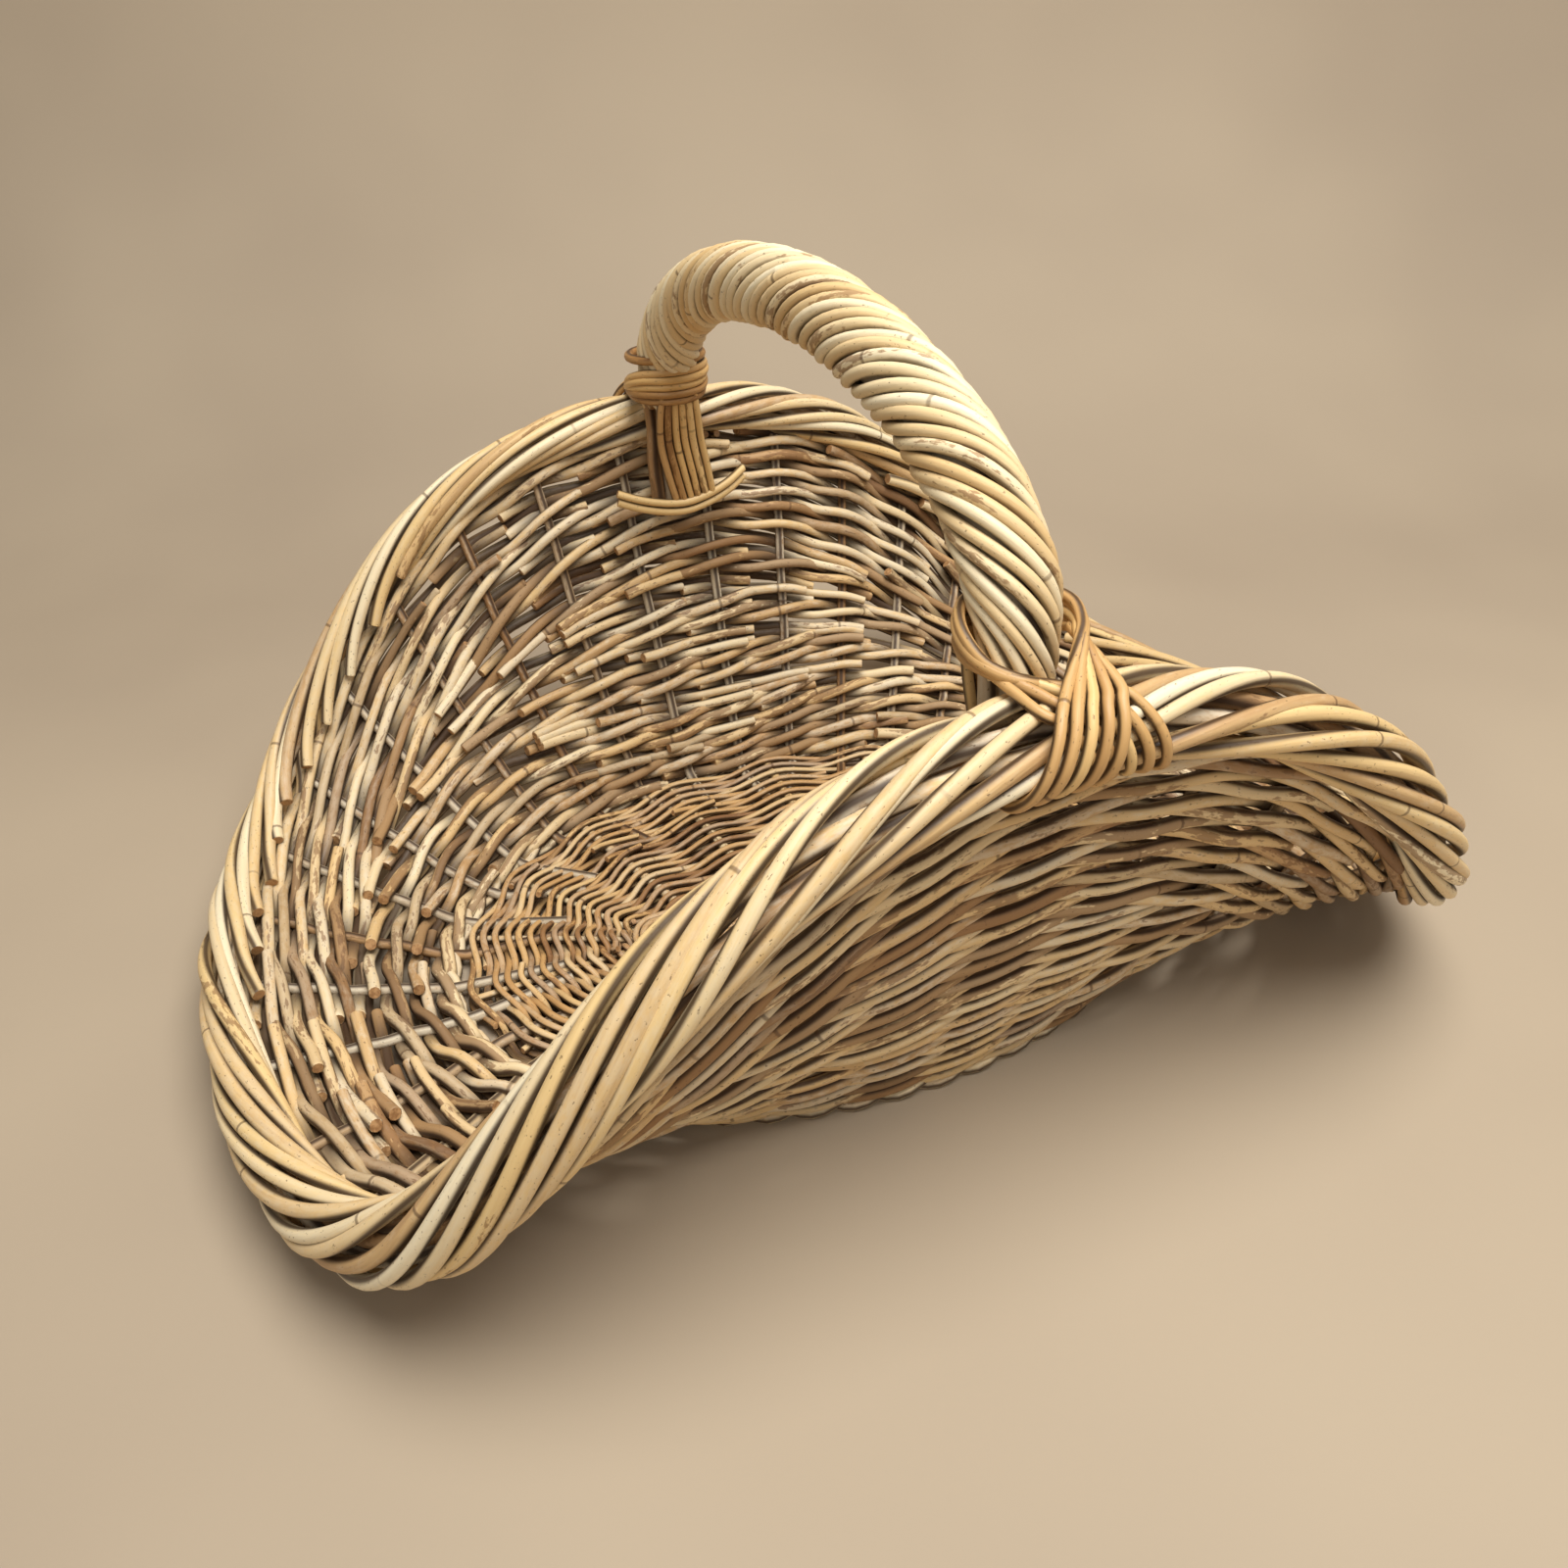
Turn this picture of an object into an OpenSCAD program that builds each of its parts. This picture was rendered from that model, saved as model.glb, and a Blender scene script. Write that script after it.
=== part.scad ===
// Oval wicker log basket with a saddle-shaped rim and a fixed bow handle.
// Frame: X runs end to end between the two low lips, Y runs through the two feet of the handle,
// Z is up. The origin is the middle of the footprint, at the level of the underside.

/* [Base] */
// Half of the base's length, out to where the stakes turn up
base_half_length = 218; // [190:1:235]
// Half of the base's width, out to where the stakes turn up
base_half_width = 160; // [140:1:170]
// Diameter of the sticks that cross in the base
stick_d = 7; // [5:0.5:7]

/* [Rim] */
// Half of the rim's length, along the middle of the rolled border
rim_half_length = 335; // [310:1:360]
// Half of the rim's width at the handle
rim_half_width = 230; // [215:1:240]
// How far the rim swells past a plain oval between the handle and the lips
rim_swell = 46; // [20:1:55]
// Height of the rim where the handle stands
rim_side_height = 248; // [220:1:280]
// Height of the rim at the two low lips
rim_lip_height = 40; // [34:1:70]
// Half of the border's thickness across the wall
border_out = 20; // [14:0.5:21]
// Half of the border's thickness along the wall
border_up = 17; // [12:0.5:19]

/* [Wall] */
// Number of upright stakes, two to each stick end
stake_count = 36; // [36:4:44]
// Diameter of one stake
stake_d = 6.8; // [5:0.2:7]
// Thickness of one layer of weaving, inside or outside the stakes
weave_t = 4.8; // [4:0.1:5]

/* [Handle] */
// Height of the handle's centre line at its top
handle_top = 366; // [345:1:400]
// Half of the distance between the two legs of the bow
leg_half_gap = 200; // [194:1:200]
// Radius of the bow rod
bow_r = 12.5; // [10:0.5:13]
// Radius over the rods wrapped round the bow
wrap_r = 19.5; // [17:0.5:20]

/* [Hidden] */

wall_in = 3.7;                    // from the stakes' centres to a weaving layer's near face
wall_out = wall_in + weave_t;     // and to its far face
core_z = wall_out;                // height of the sticks' and stakes' centres in the base
base_t = 2 * core_z;              // thickness of the whole base
hub_l = 112;                      // half size of the first rounds tied about the cross
hub_w = 20;
thin_d = stick_d * 0.6;           // the long sticks, thin enough to pass through the short ones
thin_gap = thin_d + 0.6;          // between neighbouring long sticks where they lie side by side
short_gap = 50;                   // between neighbouring short sticks
leg_top = 270;                    // where the straight legs pass into the arch
leg_foot = 196;                   // how deep the legs are pushed down inside the wall
neck_z = 267;                     // underside of the turns round each leg
neck_h = 18;
lash_r = 2.6;
straw = [0.80, 0.69, 0.49];
cream = [0.87, 0.78, 0.60];
honey = [0.68, 0.53, 0.33];
bark = [0.55, 0.44, 0.30];
yellow = [0.78, 0.63, 0.38];

// ---- the basket's own curves, by the angle a round the middle ----

function unit(v) = v / norm(v);
function base_edge(a, grow = 0, z = core_z) =
    [(base_half_length + grow) * cos(a), (base_half_width + grow) * sin(a), z];

rim_mid = (rim_side_height + rim_lip_height) / 2;
rim_drop = (rim_side_height - rim_lip_height) / 2;
function rim(a) = [
    rim_half_length * cos(a),
    (rim_half_width + rim_swell) * sin(a) + rim_swell * sin(3 * a),
    rim_mid - 14 - (rim_drop + 11) * cos(2 * a) + 14 * cos(4 * a) + 11 * cos(6 * a)
];

// The wall's middle surface: from the base edge (u = 0) it bows out a little on its way to the rim (u = 1).
function bow_point(a) = let (p = base_edge(a), q = rim(a))
    [p.x + 0.5 * (q.x - p.x), p.y + 0.5 * (q.y - p.y), p.z + 0.35 * (q.z - p.z)];
function wall(u, a) = (1 - u) * (1 - u) * base_edge(a) + 2 * u * (1 - u) * bow_point(a) + u * u * rim(a);
function wall_normal(u, a) =
    unit(cross(wall(u, a + 0.5) - wall(u, a - 0.5), wall(u + 0.01, a) - wall(u - 0.01, a)));
function wall_at(u, a, off) = wall(u, a) + off * wall_normal(u, a);
function wall_height(a) = norm(rim(a) - base_edge(a));
function u_low(a) = 15 / wall_height(a);
function u_high(a) = 1 - (border_up + 2.5) / wall_height(a);

function rim_along(a) = unit(rim(a + 0.5) - rim(a - 0.5));
function rim_across(a) = wall_normal(1, a);
function rim_up(a) = cross(rim_across(a), rim_along(a));
function round_rim(a, turn, grow = 0) = rim(a)
    + (border_out + grow) * cos(turn) * rim_across(a)
    - (border_up + grow) * sin(turn) * rim_up(a);

// ---- solids from rings of points ----

// Joins rings of n points each into one closed solid, capped at both ends.
module loft(rings) {
    n = len(rings[0]);
    last = (len(rings) - 1) * n;
    polyhedron(
        points = [for (ring = rings) each ring],
        faces = concat(
            [[for (i = [0:n - 1]) i]],
            [for (k = [0:len(rings) - 2], i = [0:n - 1], t = [0, 1])
                let (p = k * n + i, q = k * n + (i + 1) % n)
                t == 0 ? [p, p + n, q] : [q, p + n, q + n]],
            [[for (i = [n - 1:-1:0]) last + i]]));
}

// Joins rings into a closed hoop, the last ring meeting the first.
module hoop(rings) {
    n = len(rings[0]);
    m = len(rings);
    polyhedron(
        points = [for (ring = rings) each ring],
        faces = [for (k = [0:m - 1], i = [0:n - 1], t = [0, 1])
            let (j = (k + 1) % m, e = (i + 1) % n)
            t == 0 ? [k * n + i, j * n + i, k * n + e] : [k * n + e, j * n + i, j * n + e]]);
}

// A round rod along points, with its own radius at each point. side is a direction never along the rod.
function rod_rings(path, radii, side, n) = [for (k = [0:len(path) - 1])
    let (t = unit(path[min(k + 1, len(path) - 1)] - path[max(k - 1, 0)]),
         b = unit(cross(t, side[k])), c = cross(b, t))
    [for (i = [0:n - 1]) path[k] + radii[k] * (cos(i * 360 / n) * c + sin(i * 360 / n) * b)]];
module rod(path, radii, side, n = 6) loft(rod_rings(path, radii, side, n));

// ---- base ----

// One base stick: straight through the hub, then splayed out to the base edge at both ends.
module splayed_stick(near, far, d) {
    path = [[-far.x, far.y, core_z], [-near.x, near.y, core_z], [near.x, near.y, core_z], [far.x, far.y, core_z]];
    rod(path, [for (p = path) d / 2], [for (p = path) [0, 0, 1]], 12);
}

long_sticks = 5;
short_sticks = 4;
function stick_end(a) = base_edge(a, -8);

module base_long_sticks() color(honey) for (i = [0:long_sticks - 1]) {
    k = i - (long_sticks - 1) / 2;
    splayed_stick([hub_l - 8, k * thin_gap], stick_end(k * 20), thin_d);
}

module base_short_sticks() color(honey) difference() {
    for (i = [0:short_sticks - 1]) {
        k = i - (short_sticks - 1) / 2;
        end = stick_end(90 - k * 20);
        rotate(90) splayed_stick([hub_w - 2, -k * short_gap], [end.y, -end.x], stick_d);
    }
    // The slit that the long sticks are pushed through.
    translate([0, 0, core_z]) cube([2 * hub_l, long_sticks * thin_gap + 0.4, thin_d + 0.3], center = true);
}

module oval_plate(l, w, z, t) translate([0, 0, z]) linear_extrude(t)
    polygon([for (i = [0:71]) [l * cos(i * 5), w * sin(i * 5)]]);

module oval_ring(l, w, inner_l, inner_w, z, t) difference() {
    oval_plate(l, w, z, t);
    oval_plate(inner_l, inner_w, z - 1, t + 2);
}

module base_hub() color(straw) {
    oval_ring(hub_l, hub_w, hub_l - 14, hub_w - 11, core_z + wall_in, weave_t);
}

module base_weave_over() color(honey)
    oval_ring(base_half_length - 10, base_half_width - 10, hub_l + 0.5, hub_w + 0.5, core_z + wall_in, weave_t);

module base_weave_under() color(bark)
    oval_plate(base_half_length, base_half_width, 0, weave_t);

// The first rounds of thick weaving, which fill the corner under the stakes' bend.
module foot_wale() color(honey) hoop([for (a = [0:5:355]) [
    base_edge(a, 0.4, 0),
    base_edge(a, 4, 0),
    wall_at(u_low(a), a, wall_out),
    wall_at(u_low(a), a, wall_in + 0.1),
    base_edge(a, 2.6, weave_t)
]]);

// ---- wall ----

// One stake: pushed in beside its stick, bent up at the base edge and run up to the border.
module stake(a) {
    lean = a + (floor(a / 10) % 2 == 0 ? -2.2 : 2.2);
    inner = [0.72 * base_half_length * cos(lean), 0.72 * base_half_width * sin(lean), core_z];
    steps = [0, 0.12, 0.28, 0.46, 0.64, 0.82, 1];
    top = u_high(a) + 0.02;
    path = concat([inner], [for (s = steps) wall(s * top, a)]);
    side = concat([[0, 0, -1]], [for (s = steps) s == 0 ? unit([0, 0, -1] + wall_normal(0, a)) : wall_normal(s * top, a)]);
    rod(path, [for (p = path) stake_d / 2], side);
}
module stakes(from, to) for (k = [0:stake_count - 1])
    let (a = (k + 0.5) * 360 / stake_count) if (a > from && a < to) stake(a);

module front_stakes() color(bark) stakes(220, 320);
module back_stakes() color(bark) stakes(40, 140);
module left_stakes() color(bark) stakes(140, 220);
module right_stakes() color(bark) { stakes(0, 40); stakes(320, 360); }

// One panel of weaving between two angles and two distances from the wall's middle surface.
module panel(a0, a1, near, far, start) {
    across = 3;
    up = 5;
    row = up + 1;
    half = (across + 1) * row;
    outward = far > near ? 1 : 0;
    function turned(f, flip) = flip ? [f[2], f[1], f[0]] : f;
    polyhedron(
        points = [for (d = [near, far], i = [0:across], j = [0:up])
            let (a = a0 + (a1 - a0) * i / across, u0 = start * u_low(a) + 0.006, u1 = u_high(a))
            wall_at(u0 + (u1 - u0) * j / up, a, d)],
        faces = [for (f = concat(
            [for (i = [0:across - 1], j = [0:up - 1], t = [0, 1])
                let (p = i * row + j) t == 0 ? [p, p + 1, p + row] : [p + 1, p + row + 1, p + row]],
            [for (i = [0:across - 1], j = [0:up - 1], t = [0, 1])
                let (p = half + i * row + j) t == 0 ? [p, p + row, p + 1] : [p + 1, p + row, p + row + 1]],
            [for (j = [0:up - 1], i = [0, across], t = [0, 1])
                let (p = i * row + j, q = p + half, f = t == 0 ? [p, q, p + 1] : [p + 1, q, q + 1])
                turned(f, i == across)],
            [for (i = [0:across - 1], j = [0, up], t = [0, 1])
                let (p = i * row + j, q = p + half, f = t == 0 ? [p, p + row, q] : [p + row, q + row, q])
                turned(f, j == up)]))
            turned(f, outward == 0)]);
}
module weaving(from, to, near, far, start) for (a = [from:20:to - 1])
    panel(a + 0.12, a + 19.88, near, far, start);

module front_siding() color(straw) weaving(220, 320, wall_in, wall_out, 1);
module back_siding() color(straw) weaving(40, 140, wall_in, wall_out, 1);
module left_siding() color(straw) weaving(140, 220, wall_in, wall_out, 1);
module right_siding() color(straw) weaving(-40, 40, wall_in, wall_out, 1);
module front_lining() color(straw) weaving(220, 320, -wall_in, -wall_out, 0.35);
module back_lining() color(straw) weaving(40, 140, -wall_in, -wall_out, 0.35);
module left_lining() color(straw) weaving(140, 220, -wall_in, -wall_out, 0.35);
module right_lining() color(straw) weaving(-40, 40, -wall_in, -wall_out, 0.35);

// ---- rolled border ----

module roll(from, to) for (a = [from:10:to - 1])
    loft([for (i = [0:2]) [for (t = [0:30:330]) round_rim(a + 0.08 + i * 4.92, t)]]);

module front_border() color(cream) roll(220, 320);
module back_border() color(cream) roll(40, 140);
module left_border() color(cream) roll(140, 220);
module right_border() color(cream) roll(-40, 40);

// Trimmed rod ends that stand out of the border on the inside.
module border_butts() color(bark) for (a = [5:20:345]) {
    p = rim(a) - (border_out + 4.6) * rim_across(a);
    t = rim_along(a);
    b = unit(cross([0, 0, 1], t));
    multmatrix([[t.x, b.x, cross(t, b).x, p.x], [t.y, b.y, cross(t, b).y, p.y], [t.z, b.z, cross(t, b).z, p.z]])
        rotate([0, 90, 0]) cylinder(d = 8.4, h = 16, center = true, $fn = 32);
}

// ---- handle ----

// The bow's centre line: up one leg, over the arch and down the other leg.
function arch(t) = [0, leg_half_gap * cos(t), leg_top + (handle_top - leg_top) * sin(t)];
bow_path = concat(
    [[0, leg_half_gap - 3, leg_foot], [0, leg_half_gap, leg_foot + 30], [0, leg_half_gap, leg_top - 10]],
    [for (t = [0:7.5:180]) arch(t)],
    [[0, -leg_half_gap, leg_top - 10], [0, -leg_half_gap, leg_foot + 30], [0, -leg_half_gap + 3, leg_foot]]);

module handle_bow() color(bark) {
    n = len(bow_path);
    rod(bow_path, [for (k = [0:n - 1]) k < 3 || k > n - 4 ? 7.2 : k == 3 || k == n - 4 ? 10 : bow_r],
        [for (p = bow_path) [1, 0, 0]], 16);
}

// Thin rods pushed in on both sides of each leg, cut off inside the wall.
module bow_liners() color(bark) for (x = [-12.5, 12.5], s = [-1, 1])
    translate([x, s * (leg_half_gap - 1), leg_foot - 4]) cylinder(d = 9, h = neck_z - leg_foot + 3, $fn = 32);

// The sleeve of rods wound round the bow from neck to neck.
module handle_wrap() color(cream) {
    ts = [for (i = [0:24]) 3 + i * 174 / 24];
    path = [for (t = ts) arch(t)];
    side = [for (t = ts) [1, 0, 0]];
    n = 16;
    outer = rod_rings(path, [for (t = ts) wrap_r], side, n);
    inner = rod_rings(path, [for (t = ts) bow_r + 0.3], side, n);
    m = len(ts);
    polyhedron(
        points = concat([for (r = outer) each r], [for (r = inner) each r]),
        faces = concat(
            [for (k = [0:m - 2], i = [0:n - 1], t = [0, 1])
                let (p = k * n + i, q = k * n + (i + 1) % n) t == 0 ? [p, p + n, q] : [q, p + n, q + n]],
            [for (k = [0:m - 2], i = [0:n - 1], t = [0, 1])
                let (p = (m + k) * n + i, q = (m + k) * n + (i + 1) % n) t == 0 ? [p, q, p + n] : [q, q + n, p + n]],
            [for (i = [0:n - 1], t = [0, 1])
                let (e = (i + 1) % n) t == 0 ? [i, e, m * n + i] : [e, m * n + e, m * n + i]],
            [for (i = [0:n - 1], t = [0, 1])
                let (o = (m - 1) * n, w = (2 * m - 1) * n, e = (i + 1) % n)
                t == 0 ? [o + i, w + i, o + e] : [o + e, w + i, w + e]]));
}

// Turns of rod round each neck.
module neck_lashing() color(yellow) for (s = [-1, 1])
    translate([0, s * (leg_half_gap - 0.5), neck_z + 0.5]) difference() {
        cylinder(r = wrap_r + 8, h = neck_h, $fn = 64);
        translate([0, 0, -1]) cylinder(r = wrap_r + 2.6, h = neck_h + 2, $fn = 64);
    }

// A band of rods from the neck over the border and down outside it, set from x0 to x1 along the rim.
module lash_band(side, x0, x1, lift) for (i = [0:4]) {
    turns = [for (t = [-80:14:46]) t];
    last = len(turns) - 1;
    path = [for (k = [0:last])
        let (x = x0 + (x1 - x0) * k / last + (i - 2) * (2 * lash_r + 1.4),
             a = side * (90 - asin(x / rim_half_length)))
        round_rim(a, turns[k], lift)];
    rod(path, [for (p = path) lash_r], [for (k = [0:last]) path[k] - rim(side * 90)]);
}
module lash_under() color(yellow) for (s = [-1, 1]) lash_band(s, -20, 22, lash_r + 0.4);
module lash_over() color(yellow) for (s = [-1, 1]) lash_band(s, 20, -22, 3 * lash_r + 1);

// Rods that fan down from each neck over the inside of the wall.
module fan_lashing() color(yellow) for (s = [-1, 1], i = [-2.5:1:2.5])
    translate([i * 5.8, s * (leg_half_gap - 11), neck_z - 2]) rotate([180, 0, 0]) rotate([0, i * 3.2, 0])
        cylinder(r = lash_r, h = 58, $fn = 24);

base_long_sticks();
base_short_sticks();
base_hub();
base_weave_over();
base_weave_under();
foot_wale();
front_stakes();
back_stakes();
left_stakes();
right_stakes();
front_siding();
back_siding();
left_siding();
right_siding();
front_lining();
back_lining();
left_lining();
right_lining();
front_border();
back_border();
left_border();
right_border();
border_butts();
handle_bow();
bow_liners();
handle_wrap();
neck_lashing();
lash_over();
lash_under();
fan_lashing();
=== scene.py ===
# %% [markdown]
# # A wicker log basket
# An oval basket for firewood, woven from peeled willow rods. Its rim dips to two low lips, so logs can be
# slid in from either end, and a fixed bow handle stands between the two high sides.
# Everything on it is a round rod that goes over and under its neighbours. The lesson is mostly about
# that: where each rod runs, and how one rod becomes a mesh with a skin that looks like willow.

import math
from types import SimpleNamespace

import bpy
import numpy as np
from mathutils import Matrix, Vector


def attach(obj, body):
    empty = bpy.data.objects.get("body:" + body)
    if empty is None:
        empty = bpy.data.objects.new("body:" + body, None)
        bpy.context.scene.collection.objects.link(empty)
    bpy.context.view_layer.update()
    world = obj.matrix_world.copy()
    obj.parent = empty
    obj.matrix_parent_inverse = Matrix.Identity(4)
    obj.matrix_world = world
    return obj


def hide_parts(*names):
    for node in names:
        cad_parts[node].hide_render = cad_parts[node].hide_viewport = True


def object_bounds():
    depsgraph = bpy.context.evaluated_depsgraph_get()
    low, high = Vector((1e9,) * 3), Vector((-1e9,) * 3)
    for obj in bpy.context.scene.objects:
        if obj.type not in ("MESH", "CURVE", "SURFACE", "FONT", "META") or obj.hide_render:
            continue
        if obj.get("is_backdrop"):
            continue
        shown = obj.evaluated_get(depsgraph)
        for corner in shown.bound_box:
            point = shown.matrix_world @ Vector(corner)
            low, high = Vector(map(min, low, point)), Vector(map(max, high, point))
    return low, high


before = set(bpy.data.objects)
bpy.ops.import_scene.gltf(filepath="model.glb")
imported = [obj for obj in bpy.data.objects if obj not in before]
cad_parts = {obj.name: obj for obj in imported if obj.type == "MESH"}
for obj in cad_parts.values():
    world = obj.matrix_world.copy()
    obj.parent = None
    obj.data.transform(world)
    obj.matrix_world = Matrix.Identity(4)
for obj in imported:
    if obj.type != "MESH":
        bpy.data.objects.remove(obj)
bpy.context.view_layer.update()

# %% [markdown]
# ## The basket's own curves
# A weaver works round the basket, so every place on it is given by an angle round the middle and by how
# far up the wall it is. The base is an ellipse. The rim is an oval that swells and dips as it goes round:
# a sum of a few cosines gives that saddle without any list of points. Between the two the wall bows out.
# numpy evaluates these for many angles in one call, which is far quicker than a loop.

# %% Curves of the base, the rim and the wall
MM = 0.001
BASE_L, BASE_W = 218 * MM, 160 * MM
RIM_L, RIM_W, SWELL = 335 * MM, 230 * MM, 46 * MM
RIM_SIDE, RIM_LIP = 248 * MM, 40 * MM
BORDER_OUT, BORDER_UP = 20 * MM, 17 * MM
CORE_Z = 8.5 * MM
STAKES = 36
STAKE_STEP = 360 / STAKES


def unit(v):
    return v / np.linalg.norm(v, axis=-1, keepdims=True)


def cos(a):
    return np.cos(np.radians(a))


def sin(a):
    return np.sin(np.radians(a))


def base_edge(a, grow=0.0, z=CORE_Z):
    """The ellipse round the base, made larger all round by grow."""
    a = np.asarray(a, float)
    return np.stack([(BASE_L + grow) * cos(a), (BASE_W + grow) * sin(a), z + 0 * a], -1)


def rim(a):
    """The middle line of the border, high at the handle and low at the lips."""
    a = np.asarray(a, float)
    middle, drop = (RIM_SIDE + RIM_LIP) / 2, (RIM_SIDE - RIM_LIP) / 2
    z = middle + MM * (-14 - 11 * cos(2 * a) + 14 * cos(4 * a) + 11 * cos(6 * a)) - drop * cos(2 * a)
    return np.stack([RIM_L * cos(a), (RIM_W + SWELL) * sin(a) + SWELL * sin(3 * a), z], -1)


def wall(u, a):
    """A place on the wall, on a Bezier curve with one handle: u is 0 at the base and 1 at the rim."""
    low, high = base_edge(a), rim(a)
    bow = low + np.array([0.5, 0.5, 0.35]) * (high - low)
    u = np.asarray(u, float)[..., None]
    return (1 - u) ** 2 * low + 2 * u * (1 - u) * bow + u * u * high


def wall_normal(u, a):
    """The direction straight out of the wall, from two short steps along it."""
    u, a = np.asarray(u, float), np.asarray(a, float)
    return unit(np.cross(wall(u, a + 0.5) - wall(u, a - 0.5), wall(u + 0.01, a) - wall(u - 0.01, a)))


def wall_length(a):
    return np.linalg.norm(rim(a) - base_edge(a), axis=-1)


print("rim at the handle", rim(90).round(3), "and at a lip", rim(0).round(3))

# %% [markdown]
# ## One rod
# Willow rods are round, taper from a thick butt to a thin tip, and are cut off square or slanting.
# A curve with a bevel could make one, but a basket has several hundred, and each needs to carry facts for
# its finish. So the mesh is built directly: a ring of points at each step along the path.
# The path itself comes from a few chosen points. A Catmull-Rom curve runs through all of them, which is
# easier to steer than a curve that is only drawn towards its points.

# %% A smooth line
rng = np.random.default_rng(36)


def flow(points, steps=4):
    """A smooth line through the points, with that many steps between neighbours."""
    p = np.asarray(points, float)
    p = np.vstack([2 * p[0] - p[1], p, 2 * p[-1] - p[-2]])
    a, b, c, d = (p[i:len(p) - 3 + i, None] for i in range(4))
    t = (np.arange(steps) / steps)[None, :, None]
    line = b + 0.5 * t * ((c - a) + t * ((2 * a - 5 * b + 4 * c - d) + t * (3 * b - a - 3 * c + d)))
    return np.vstack([line.reshape(-1, p.shape[1]), p[-2]])


print("a line through 4 points with 5 steps each has", len(flow(np.zeros((4, 3)), 5)), "points")

# %% [markdown]
# Along that line the rod is swept as rings of points. Each ring needs two directions that are square to
# the line, and they must not spin on the way: they are found from a direction given for every point,
# usually the one straight out of the wall. The radius swells very slightly along the rod.

# %% Rings along a line
def sweep(path, radius, across, sides, look):
    """Rings of points, their skin values, and the directions along the path. across is never along it."""
    along = unit(np.gradient(path, axis=0))
    side = unit(np.cross(along, np.broadcast_to(across, path.shape)))
    top = np.cross(side, along)
    run = np.concatenate([[0], np.cumsum(np.linalg.norm(np.diff(path, axis=0), axis=1))])
    radius = np.broadcast_to(radius, len(path)) * (1 + 0.025 * np.sin(run * 55 + 40 * look[2]))
    turn = np.arange(sides) * 2 * math.pi / sides
    around = np.cos(turn)[:, None] * top[:, None] + np.sin(turn)[:, None] * side[:, None]
    rings = path[:, None] + radius[:, None, None] * around
    skin = np.stack(np.broadcast_arrays(
        run[:, None], radius[:, None] * np.cos(turn), radius[:, None] * np.sin(turn)), -1)
    return rings, skin, along


def ring_faces(count, sides):
    """Four-sided faces between that many rings."""
    i, j = np.meshgrid(np.arange(count - 1), np.arange(sides), indexing="ij")
    p, q = i * sides + j, i * sides + (j + 1) % sides
    return np.stack([p, q, q + sides, p + sides], -1).reshape(-1, 4)


print("two rings of 6 points are joined by", len(ring_faces(2, 6)), "faces")

# %% [markdown]
# A cut end shows at once whether a rod is real. It is sawn or sliced a little askew, with an edge that is
# slightly rounded, so the face is a smaller ring pushed out, and tilted by a random amount.

# %% Sawn ends
CAP_SHARE, CAP_EDGE = 0.88, 0.4 * MM


def sawn_end(ring, middle, out, way):
    """Points of a sawn face, the faces of the edge round it, and the fan of faces that fills it."""
    sides = len(ring)
    slant = rng.random() - 0.5
    lean = (ring - middle) @ unit(ring[0] - middle)
    reach = CAP_EDGE + slant * 0.4 * lean[:, None] + abs(slant) * MM
    j = np.arange(sides)
    e = (j + 1) % sides
    edge = np.stack([j, e, e + sides, j + sides], -1)
    fan = np.stack([j, e, np.full(sides, sides)], -1)
    if way < 0:
        edge, fan = edge[:, ::-1], fan[:, ::-1]
    return middle + CAP_SHARE * (ring - middle) + out * reach, edge, fan
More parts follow.
